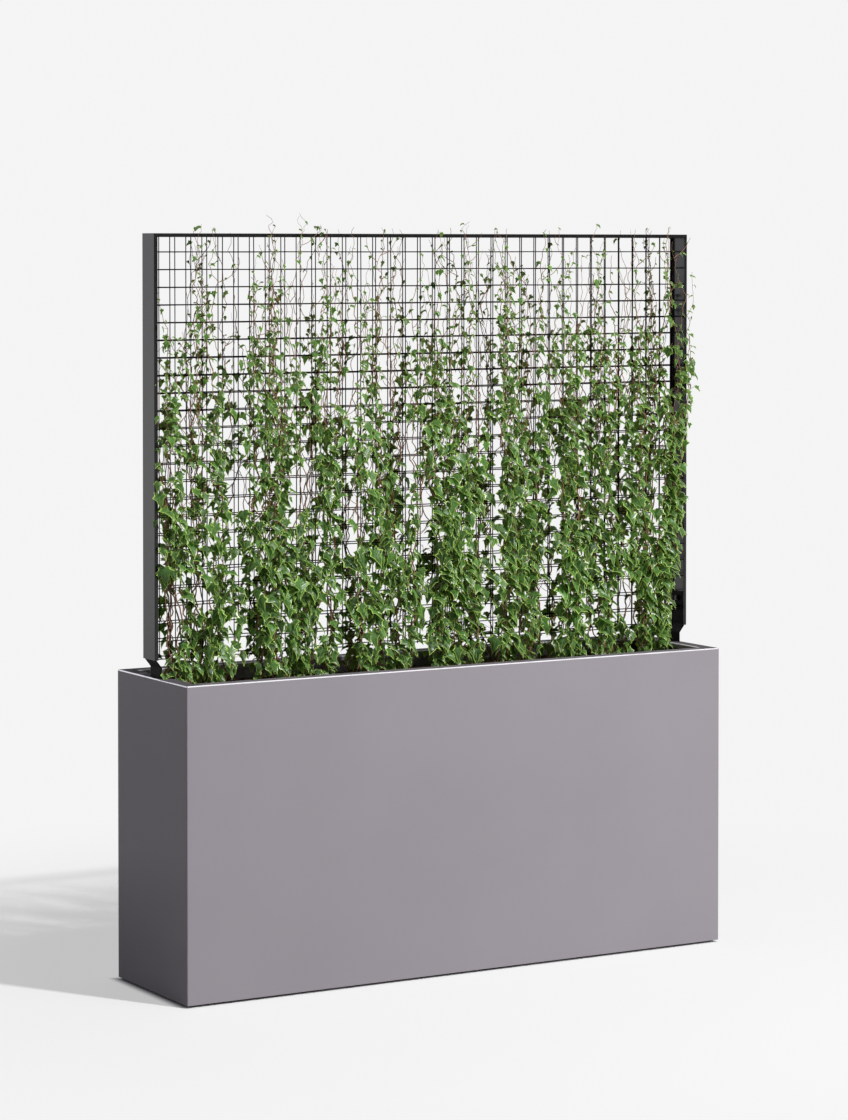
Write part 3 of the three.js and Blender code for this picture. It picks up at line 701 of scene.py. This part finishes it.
# Clear places between the plants, where the mesh shows: x, z, half width, half height.
GAPS = [
    (-0.852, 1.05, 0.034, 0.11), (-0.790, 1.12, 0.020, 0.06), (-0.865, 1.44, 0.030, 0.08),
    (-0.805, 1.42, 0.022, 0.07), (-0.630, 1.40, 0.024, 0.07), (-0.454, 1.40, 0.032, 0.08),
    (-0.365, 1.06, 0.024, 0.07), (-0.290, 1.30, 0.036, 0.12), (-0.160, 1.74, 0.036, 0.14),
    (-0.100, 1.53, 0.030, 0.06), (-0.043, 1.33, 0.024, 0.12), (0.148, 1.22, 0.022, 0.06),
    (0.150, 1.70, 0.024, 0.16), (0.215, 1.49, 0.018, 0.06), (0.320, 1.60, 0.020, 0.08),
    (0.390, 1.08, 0.032, 0.08), (0.500, 1.33, 0.024, 0.07), (0.520, 1.66, 0.026, 0.06),
    (0.520, 1.95, 0.034, 0.10), (0.665, 2.00, 0.034, 0.16), (0.655, 1.03, 0.032, 0.07),
    (-0.454, 1.93, 0.026, 0.10), (-0.640, 1.97, 0.024, 0.08), (0.740, 1.22, 0.016, 0.07),
    (0.682, 0.985, 0.030, 0.06), (-0.093, 1.50, 0.032, 0.07), (-0.424, 1.42, 0.034, 0.08),
    (0.425, 1.66, 0.036, 0.05), (-0.359, 1.62, 0.028, 0.06), (-0.807, 1.60, 0.030, 0.06),
    (-0.293, 1.67, 0.026, 0.06), (-0.744, 1.07, 0.018, 0.04), (-0.293, 1.275, 0.026, 0.05),
]
GAP_SLANT = 0.066  # one looks through the gaps at a slant, so in the back ivy they lie further right
OPEN_CORNER = -0.785  # left of here few stems reach the rail
# Places along the trellis where most of the tall stems climb.
COLUMNS = np.array([
    -0.85, -0.72, -0.57, -0.50, -0.35, -0.24, -0.06, 0.03, 0.245, 0.38, 0.46, 0.60, 0.72, 0.83,
])
# The ivy's right edge by height. It leans out past the post only between 1.54 and 2.16 m.
RIGHT_EDGE = ([1.10, 1.22, 1.50, 1.64, 2.10, 2.16], [0.835, 0.868, 0.882, 0.945, 0.945, 0.900])
LEFT_EDGE = {-1: -0.918, 1: -0.850}  # in front and behind
STEM_INSET = 0.034  # the stems keep this far inside the leaves' edges


def at_height(z, column):
    """One column of the growth table, between its rows."""
    return np.interp(z, GROWTH[:, 0], GROWTH[:, column])


def in_gap(x, z):
    """Whether a leaf there would cover one of the clear places."""
    return any(((x - gx) / wx) ** 2 + ((z - gz) / wz) ** 2 < 1 for gx, gz, wx, wz in GAPS)


def in_bounds(points, side):
    """Whether a path keeps between the plants' left and right edges."""
    inside = (points[:, 0] > LEFT_EDGE[side]) & (points[:, 0] < np.interp(points[:, 2], *RIGHT_EDGE))
    return bool(inside.all())


def wander(rng, length, bends, count, reach):
    """A smooth random wandering as count values, with so many bends to the metre, mostly within reach."""
    knots = rng.normal(0, 1, max(int(length * bends), 4) + 2)
    spread = np.linspace(0, len(knots) - 1, count)
    left = np.floor(spread).astype(int).clip(0, len(knots) - 2)
    share = spread - left
    share = share * share * (3 - 2 * share)
    return reach * (knots[left] * (1 - share) + knots[left + 1] * share)


# %% One stem
STEP = 0.010  # from point to point along a stem
ROOT_DEPTH = 0.012
FAN_OUT = 0.7  # within this length a stem goes over from its foot to its own column
SWAYS = ((5, 0.014), (18, 0.0060), (60, 0.0042))  # bends to the metre, and how far they stray sideways
OVERSHOOT = 0.2  # what is left of a stem's way past the ivy's edges
STAND_OFF = 0.003
# What a stem stands off the mesh at most beyond that, by height.
BULK = ([0.83, 0.93, 1.15, 1.5, 1.8, 2.3], [0.012, 0.02, 0.034, 0.026, 0.012, 0.007])
DEPTH_BENDS, DEPTH_REACH = 9, 0.008  # the same as SWAYS, in depth
WEAVE_FROM, WEAVE_BENDS, WEAVE_DEPTH = 0.95, 5, 0.012  # above the first height stems dip into the mesh
FOOT_Y = 0.028  # where stems leave the soil, in front of or behind the middle
FOOT_LENGTH = 0.12  # and within this height they reach the mesh
RAIL_FACE = 0.0425  # a stem keeps outside of this to pass the rail
CURL = (0.008, 0.007)  # of the tips above the rail, sideways and in depth
STEM_RADIUS = ([0, 0.12, 0.55, 0.9, 1], [0.0027, 0.0022, 0.0015, 0.0009, 0.0005])  # by share of length


def past_rail(rng, x, depth, z):
    """Leads a tall stem round the rail and lets its tip curl in the free air above."""
    before_rail = np.clip((z - RAIL_TOP + 0.08) / 0.05, 0, 1)
    depth = depth + (np.maximum(depth, RAIL_FACE) - depth) * before_rail
    above = np.clip((z - RAIL_TOP - 0.004) / 0.02, 0, 1)
    curl = rng.uniform(0, 6.28) + (z - RAIL_TOP) * rng.uniform(90, 150)
    return x + above * CURL[0] * np.cos(curl), depth + above * CURL[1] * np.sin(curl)


def climbing_stem(rng, side, foot_x, top_x, top):
    """Points from under the soil to the tip, and a radius for each."""
    foot = SOIL_TOP - ROOT_DEPTH
    length = top - foot
    count = max(int(length / STEP), 8)
    up = np.linspace(0, 1, count)
    z = foot + length * up
    x = foot_x + (top_x - foot_x) * np.clip(up * length / FAN_OUT, 0, 1) ** 0.8
    for bends, reach in SWAYS:
        x = x + wander(rng, length, bends, count, reach)
    lowest_x = LEFT_EDGE[side] + STEM_INSET
    highest_x = np.interp(z, *RIGHT_EDGE) - STEM_INSET
    x = np.where(x < lowest_x, lowest_x + OVERSHOOT * (x - lowest_x), x)
    x = np.where(x > highest_x, highest_x + OVERSHOOT * (x - highest_x), x)
    bulk = np.interp(z, *BULK) * rng.uniform(0.0, 1.0)
    depth = MESH_FACE + STAND_OFF + bulk + wander(rng, length, DEPTH_BENDS, count, DEPTH_REACH)
    weave = wander(rng, length, WEAVE_BENDS, count, 1.0)
    depth = np.where(z > WEAVE_FROM, depth - WEAVE_DEPTH * np.clip(weave - 0.5, 0, 1), depth)
    depth = FOOT_Y + (depth - FOOT_Y) * np.clip((z - foot) / FOOT_LENGTH, 0, 1)
    if top > RAIL_TOP - 0.03:
        x, depth = past_rail(rng, x, depth, z)
    return np.c_[x, side * depth, z], np.interp(up, *STEM_RADIUS) * rng.uniform(0.75, 1.25)


BRANCH_PULL = 0.06  # within about this height a branch draws apart from its stem
BRANCH_SHARE = 0.8  # of its stem's thickness
SHOOT_RADIUS = (0.0011, 0.0005)


def branched_off(stem, points, radius, height):
    """The part of a second path above a height, drawn back at its foot to start on the first stem."""
    first = min(int(np.searchsorted(points[:, 2], height)), len(points) - 6)
    meet = stem[np.argmin(np.abs(stem[:, 2] - points[first, 2]))]
    part = points[first:].copy()
    pull = np.exp(-(part[:, 2] - part[0, 2]) / BRANCH_PULL)[:, None]
    part[:, :2] += (meet[:2] - part[0, :2]) * pull
    return part, BRANCH_SHARE * radius[first:]


def side_shoot(rng, start, side, length):
    """A short shoot that leaves its stem sideways and turns up."""
    count = max(int(length / 0.008), 5)
    turn = rng.choice([-1, 1])
    angle = np.linspace(rng.uniform(0.9, 1.5), rng.uniform(-0.3, 0.5), count)
    step = length / count
    x = np.cumsum(np.sin(angle) * turn * step) + wander(rng, length, 40, count, 0.0018)
    z = np.cumsum(np.cos(angle) * step)
    y = side * np.linspace(0, rng.uniform(-0.004, 0.03), count)
    points = np.asarray(start) + np.c_[x, y, z] - np.array([x[0], y[0], 0])
    points[0] = start
    return points, np.linspace(*SHOOT_RADIUS, count)


# %% Leaves along a stem
ROLL, PITCH, YAW = 0.30, 0.28, 0.60  # spread of the blades' turns
LEAN_YAW = 0.40  # each blade also turns to its own side of the stem
SIZE_SPREAD = 0.26
GAP_KEPT_CLEAR = 0.92  # share of the leaves that a clear place keeps away


def leaf_matrix(rng, base, side, size, lean):
    """The place of one blade, which arches away from its stalk to one side, each a little differently."""
    roll = rng.normal(0.0, ROLL)
    pitch = rng.normal(0.0, PITCH)
    yaw = rng.normal(0.0, YAW) + lean * LEAN_YAW
    turn = Matrix.Rotation(yaw, 4, "Z") @ Matrix.Rotation(pitch, 4, "X") @ Matrix.Rotation(roll, 4, "Y")
    if side > 0:
        turn = Matrix.Rotation(math.pi, 4, "Z") @ turn
    width = size * rng.uniform(0.85, 1.15)
    return Matrix.Translation(base) @ turn @ Matrix.Diagonal((width, size, size, 1))


def stalk_matrix(start, end):
    """Stretches the unit stalk, which runs up Z, from start to end."""
    run = Vector(end) - Vector(start)
    turn = run.to_track_quat("Z", "Y").to_matrix().to_4x4()
    return Matrix.Translation(start) @ turn @ Matrix.Diagonal((1, 1, run.length, 1))


def dress(rng, points, side, spare, thin):
    """Leaf and stalk places along one path. spare is the share left out, and thin stretches the spacing."""
    leaves, stalks = [], []
    travelled, lean = 0.0, rng.choice([-1, 1])
    for before, here in zip(points[:-1], points[1:]):
        travelled += float(np.linalg.norm(here - before))
        z = here[2]
        if travelled < at_height(z, 2) * thin or z < SOIL_TOP + 0.03:
            continue
        travelled = 0.0
        lean = -lean
        if rng.uniform() < spare:
            continue
        size = at_height(z, 1) * float(np.clip(rng.lognormal(0.0, SIZE_SPREAD), 0.5, 1.6))
        stalk = size * rng.uniform(0.3, 0.95)
        room = at_height(z, 3)
        out = rng.uniform(-0.1, 0.85) * min(room * 0.7, stalk)
        aside, above = lean * stalk * rng.uniform(0.2, 0.9), stalk * rng.uniform(0.0, 0.7)
        base = here + np.array([aside, side * out, above])
        base[1] = side * min(side * base[1], MESH_FACE + room - 0.45 * size)
        seen_x = base[0] - (GAP_SLANT if side > 0 else 0.0)
        if in_gap(seen_x, base[2] - size / 2) and rng.uniform() < GAP_KEPT_CLEAR:
            continue
        reach = size * 0.4
        if base[0] + reach > np.interp(base[2], *RIGHT_EDGE) or base[0] - reach < LEFT_EDGE[side]:
            continue
        leaves.append(leaf_matrix(rng, base, side, size, lean))
        stalks.append(stalk_matrix(here, base))
    return leaves, stalks


# %% Stems and stalks as meshes
STALK_FOOT, STALK_END = 0.0007, 0.0005
stalk_form = bmesh.new()
bmesh.ops.create_cone(
    stalk_form, cap_ends=False, segments=3, radius1=STALK_FOOT, radius2=STALK_END, depth=1.0
)
bmesh.ops.translate(stalk_form, vec=(0, 0, 0.5), verts=stalk_form.verts[:])
STALK = into_template(stalk_form)


def stem_mesh(name, paths):
    """All the stems of one plant: a round bevelled curve, turned into a mesh."""
    curve = bpy.data.curves.new(name, "CURVE")
    curve.dimensions = "3D"
    curve.bevel_depth = 1.0
    curve.bevel_resolution = 1
    curve.use_fill_caps = True
    for points, radius in paths:
        spline = curve.splines.new("POLY")
        spline.points.add(len(points) - 1)
        spline.points.foreach_set("co", np.c_[points, np.ones(len(points))].ravel())
        spline.points.foreach_set("radius", radius)
    holder = bpy.data.objects.new(name, curve)
    mesh = bpy.data.meshes.new_from_object(holder)
    bpy.data.objects.remove(holder)
    bpy.data.curves.remove(curve)
    mesh.name = name
    mesh.polygons.foreach_set("use_smooth", np.ones(len(mesh.polygons), dtype=bool))
    high = np.empty(len(mesh.vertices) * 3)
    mesh.vertices.foreach_get("co", high)
    tone = np.clip((high[2::3] - 0.9) / 1.2, 0, 1)
    mesh.attributes.new("tone", "FLOAT", "POINT").data.foreach_set("value", tone.astype(np.float32))
    return mesh


# %% Where a stem goes
FOOT_RANGE = (-0.84, 0.84)  # where stems leave the soil, left and right
TOP_RANGE = (-0.875, 0.9)  # and where they climb
OVER_RAIL_SHARE = 0.3  # of the stems end above the rail
TO_RAIL_SHARE = 0.6  # of the others end just under it
TO_RAIL_FROM = 1.98  # and from this height on
SHORT_TOPS = (1.4, 2.05)  # heights at which the rest end
CORNER_TOPS = (1.6, 2.0)  # and in the open corner at the latest, but for a plant's tallest stem
COLUMN_REACH, COLUMN_PULL = 0.06, 0.6  # a stem this near to a column is drawn so far over to it


def stem_places(rng, left, width, share):
    """Where a stem leaves the soil and where it climbs, for its share of the plant's width."""
    foot_x = np.clip(left + width * (0.12 + 0.76 * share), *FOOT_RANGE)
    top_x = np.clip(left + width * (0.02 + 0.96 * share) + rng.normal(0, 0.012), *TOP_RANGE)
    off = COLUMNS[np.argmin(np.abs(COLUMNS - top_x))] - top_x
    return foot_x, top_x + off * (COLUMN_PULL if abs(off) < COLUMN_REACH else 0.0)


def stem_top(rng, top_x, crown, tallest):
    """How high a stem climbs. The tallest one reaches the plant's crown."""
    if tallest:
        return crown - 0.004
    if rng.uniform() < OVER_RAIL_SHARE:
        top = rng.uniform(RAIL_TOP + 0.01, max(crown - 0.005, RAIL_TOP + 0.02))
    elif rng.uniform() < TO_RAIL_SHARE:
        top = rng.uniform(TO_RAIL_FROM, RAIL_TOP - 0.01)
    else:
        top = rng.uniform(*SHORT_TOPS)
    return min(top, rng.uniform(*CORNER_TOPS)) if top_x < OPEN_CORNER else top


# %% One plant
STEM_SPARE, BRANCH_SPARE, SHOOT_SPARE, EDGE_SPARE = 0.12, 0.5, 0.15, 0.3  # share of leaves left out
BRANCH_THIN, SHOOT_THIN, EDGE_THIN = 2.4, 0.8, 1.5  # and what stretches the leaves' spacing
BRANCHED_FROM = 1.7  # only stems that end above this height have branches: none, one or two
FORKS = (1.15, 1.65)  # heights at which branches leave their stem
SHOOT_LENGTHS = (0.03, 0.11)
EDGE_STEM_TOP = 1.75


class Plant:
    """The stems, leaves and stalks of one plant, on the front (side -1) or the back (side 1)."""

    def __init__(self, rng, side):
        self.rng, self.side = rng, side
        self.paths, self.leaves, self.stalks = [], [], []

    def grow(self, points, radius, spare, thin=1.0):
        self.paths.append((points, radius))
        leaves, stalks = dress(self.rng, points, self.side, spare, thin)
        self.leaves += leaves
        self.stalks += stalks

    def climb(self, foot_x, top_x, top, crown):
        """One stem with its branches and side shoots."""
        rng, side = self.rng, self.side
        points, radius = climbing_stem(rng, side, foot_x, top_x, top)
        self.grow(points, radius, STEM_SPARE)
        for _ in range(rng.integers(0, 3) if top > BRANCHED_FROM else 0):
            end_x, end = top_x + rng.normal(0, 0.03), min(top - rng.uniform(-0.02, 0.3), crown - 0.01)
            second = climbing_stem(rng, side, foot_x, end_x, end)
            branch = branched_off(points, *second, rng.uniform(*FORKS))
            self.grow(*branch, BRANCH_SPARE, BRANCH_THIN)
        for _ in range(rng.integers(4, 8)):
            start = points[rng.integers(len(points) // 6, len(points) - 4)]
            shoot, thickness = side_shoot(rng, start, side, rng.uniform(*SHOOT_LENGTHS))
            if shoot[-1][2] <= crown - 0.02 and in_bounds(shoot, side):
                self.grow(shoot, thickness, SHOOT_SPARE, SHOOT_THIN)

    def climb_edge(self):
        """One thin stem right beside the left post."""
        foot_x, top_x = LEFT_EDGE[self.side] + 0.06, LEFT_EDGE[self.side] + 0.03
        points, radius = climbing_stem(self.rng, self.side, foot_x, top_x, EDGE_STEM_TOP)
        self.grow(points, BRANCH_SHARE * radius, EDGE_SPARE, EDGE_THIN)

    def pieces(self, word):
        """All of the plant as finished pieces: its stems, one piece for each kind of leaf, and the stalks."""
        made = [finished(f"ivy_stems_{word}", stem_mesh(f"ivy_stems_{word}", self.paths), stem_bark)]
        kinds = self.rng.integers(0, len(LEAVES), len(self.leaves))
        for kind, template in enumerate(LEAVES):
            places = [m for m, k in zip(self.leaves, kinds) if k == kind]
            youth = np.array([np.clip((m.translation.z - 1.5) / 0.7, 0, 1) for m in places])
            tones = np.clip(self.rng.normal(0.38, 0.34, len(places)) + 0.3 * youth, 0, 1)
            made.append(stamped(f"ivy_leaves_{word}_{kind + 1}", template, places, tones, ivy_leaf))
        tones = self.rng.uniform(0.5, 1, len(self.stalks))
        return made + [stamped(f"ivy_stalks_{word}", STALK, self.stalks, tones, stem_bark)]


def grow_plant(node, side, stem_count, seed, edge_stem=False):
    """Stems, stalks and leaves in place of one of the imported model's plain plants."""
    rng = np.random.default_rng(seed)
    low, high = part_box(node)
    plant = Plant(rng, side)
    for number in range(stem_count):
        share = (number + rng.uniform(0.2, 0.8)) / stem_count
        foot_x, top_x = stem_places(rng, low[0], high[0] - low[0], share)
        top = stem_top(rng, top_x, high[2], number == stem_count // 2)
        plant.climb(foot_x, top_x, top, high[2])
    if edge_stem:
        plant.climb_edge()
    for piece in plant.pieces(node.replace("ivy_", "")):
        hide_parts(node)
    return len(plant.leaves)


# %% [markdown]
# ## Planting
# Seven plants climb the front mesh and six the back. Each takes the place, height and width of its plain
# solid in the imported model.

# %% Planting
FRONT_STEMS = (9, 12, 9, 10, 9, 12, 11)  # of each plant, from left to right
BACK_STEMS = (7, 7, 7, 7, 7, 8)
FRONT_SEED, BACK_SEED = 100, 200
total = 0
for number, stem_count in enumerate(FRONT_STEMS, 1):
    total += grow_plant(f"ivy_front_{number}", -1, stem_count, FRONT_SEED + number, edge_stem=number == 1)
for number, stem_count in enumerate(BACK_STEMS, 1):
    total += grow_plant(f"ivy_back_{number}", 1, stem_count, BACK_SEED + number)
print(total, "leaves")

# %% [markdown]
# ## Floor, surroundings and light
# The object stands on a pale floor that runs into a pale background without a line. Near the object the
# floor takes light and shadow, and far from it the floor fades into the background's own colour. For all
# other light the floor and the room are darker, as a studio is behind the camera, so that the object's side
# away from the lamp stays dark. The coats mirror a floor that darkens towards the camera in the same way.

# %% The floor
BACKDROP = chip(244, 244, 244)
FLOOR_SEEN = (0.93, 0.93, 0.93, 1)
FLOOR_FOR_LIGHT = (0.20, 0.20, 0.20, 1)
FLOOR_LIFT = 0.50  # share of the background's colour in the floor right by the object
FLOOR_RADIUS = 70
FADE_FROM, FADE_TO = 1.1, 2.8  # metres from the origin
DARK_AHEAD = (-4.5, -0.6, 0.12, 1.0)  # in the coats: from y, to y, and what they show of the background there
DARK_NEAR = (3.5, 16.0, 0.24, 1.0)  # and the same by the way from the origin
DARK_PAPER = 0.6  # share by which that darkens the floor's own white
PLANTER_END, PLANTER_SIDE = 0.893, 0.2225
COVER_BLUR = (-0.004, 0.03)  # from here to here past the planter's outline the lift sets in

floor_finish = Finish("studio_floor")
path = floor_finish.node("ShaderNodeLightPath").outputs
seen = floor_finish.maths("MAXIMUM", path["Is Camera Ray"], path["Is Glossy Ray"])
seen = floor_finish.maths("MAXIMUM", seen, path["Is Transmission Ray"])
reach = floor_finish.node("ShaderNodeVectorMath", operation="LENGTH")
floor_finish.feed(reach.inputs[0], floor_finish.place)
fade = floor_finish.rise(reach.outputs["Value"], FADE_FROM, FADE_TO, FLOOR_LIFT, 1.0)
floor_x, floor_y, _ = floor_finish.axes()
past_end = floor_finish.maths("SUBTRACT", floor_finish.maths("ABSOLUTE", floor_x), PLANTER_END)
past_side = floor_finish.maths("SUBTRACT", floor_finish.maths("ABSOLUTE", floor_y), PLANTER_SIDE)
uncovered = floor_finish.rise(floor_finish.maths("MAXIMUM", past_end, past_side), *COVER_BLUR)
fade = floor_finish.maths("MULTIPLY", fade, uncovered)
ahead = floor_finish.rise(floor_y, *DARK_AHEAD)
ahead = floor_finish.maths("MULTIPLY", ahead, floor_finish.rise(reach.outputs["Value"], *DARK_NEAR))
mirrored = floor_finish.maths("MULTIPLY", path["Is Glossy Ray"], floor_finish.maths("SUBTRACT", 1.0, ahead))
fade = floor_finish.maths("MULTIPLY", fade, floor_finish.maths("SUBTRACT", 1.0, mirrored))
paper = floor_finish.node("ShaderNodeBsdfDiffuse")
pale = floor_finish.maths("SUBTRACT", seen, floor_finish.maths("MULTIPLY", mirrored, DARK_PAPER))
floor_finish.feed(paper.inputs["Color"], floor_finish.mix(pale, FLOOR_FOR_LIGHT, FLOOR_SEEN))
glow = floor_finish.node("ShaderNodeEmission")
glow.inputs["Color"].default_value = BACKDROP
laid = floor_finish.node("ShaderNodeMixShader")
floor_finish.feed(laid.inputs[0], floor_finish.maths("MULTIPLY", seen, fade))
floor_finish.feed(laid.inputs[1], paper.outputs[0])
floor_finish.feed(laid.inputs[2], glow.outputs[0])
floor_finish.feed(floor_finish.output.inputs["Surface"], laid.outputs[0])

floor_form = bmesh.new()
bmesh.ops.create_circle(floor_form, cap_ends=True, segments=96, radius=FLOOR_RADIUS)
floor_mesh = bpy.data.meshes.new("studio_floor")
floor_form.to_mesh(floor_mesh)
floor_form.free()
floor_mesh.materials.append(floor_finish.material)
studio_floor = bpy.data.objects.new("studio_floor", floor_mesh)
bpy.context.scene.collection.objects.link(studio_floor)

# %% The room
ROOM_FRONT = 0.14
ROOM_BACK = 0.30
ROOM_BACK_MIRRORED = 0.9
ROOM_TINT = (0.94, 0.94, 1, 1)
ROOM_TURN = (-0.35, 0.45)  # the direction's y at which the front part ends and the back part begins

world = bpy.data.worlds.new("room")
bpy.context.scene.world = world
world.use_nodes = True
room = world.node_tree
for old in room.nodes[:]:
    room.nodes.remove(old)


def room_node(kind, values=(), **settings):
    made = room.nodes.new(kind)
    for key, value in settings.items():
        setattr(made, key, value)
    for socket, value in values:
        if isinstance(value, bpy.types.NodeSocket):
            room.links.new(value, made.inputs[socket])
        else:
            made.inputs[socket].default_value = value
    return made


direction = room_node("ShaderNodeTexCoord").outputs["Generated"]
parts = room_node("ShaderNodeSeparateXYZ", [(0, direction)]).outputs
ray = room_node("ShaderNodeLightPath").outputs
behind = room_node(
    "ShaderNodeMapRange", [(0, ray["Is Glossy Ray"]), (3, ROOM_BACK), (4, ROOM_BACK_MIRRORED)],
).outputs[0]
level = room_node(
    "ShaderNodeMapRange",
    [(0, parts[1]), (1, ROOM_TURN[0]), (2, ROOM_TURN[1]), (3, ROOM_FRONT), (4, behind)],
    interpolation_type="SMOOTHSTEP",
).outputs[0]
studio = room_node("ShaderNodeBackground", [(0, ROOM_TINT), (1, level)])
backdrop = room_node("ShaderNodeBackground", [(0, BACKDROP), (1, 1.0)])
shown = room_node(
    "ShaderNodeMixShader", [(0, ray["Is Camera Ray"]), (1, studio.outputs[0]), (2, backdrop.outputs[0])],
)
room_node("ShaderNodeOutputWorld", [(0, shown.outputs[0])])

# %% [markdown]
# ## The lamps
# The shadow's edges in such a picture are nearly parallel, as in sunlight. So the key lamp is strong and very
# far away, up in front and to the right. A weak fill lamp lifts the right part of the front, and the coats
# don't mirror it.

# %% The lamps
KEY_TOWARDS = Vector((0.320, -0.590, 0.742)).normalized()
KEY_DISTANCE = 45.0
KEY_SIZE = 1.9
KEY_POWER = 18600
FILL_PLACE = Vector((2.7, -4.3, 1.1))
FILL_SIZE = 2.2
FILL_POWER = 80
AIM = Vector((0, 0, 0.9))


def softbox(name, place, size, power):
    """A round lamp that points at the middle of the object."""
    data = bpy.data.lights.new(name, "AREA")
    data.shape = "DISK"
    data.size = size
    data.energy = power
    lamp = bpy.data.objects.new(name, data)
    lamp.location = place
    lamp.rotation_euler = (place - AIM).to_track_quat("Z", "Y").to_euler()
    bpy.context.scene.collection.objects.link(lamp)
    return lamp


softbox("key_softbox", AIM + KEY_TOWARDS * KEY_DISTANCE, KEY_SIZE, KEY_POWER)
fill = softbox("fill_softbox", FILL_PLACE, FILL_SIZE, FILL_POWER)
fill.visible_glossy = False
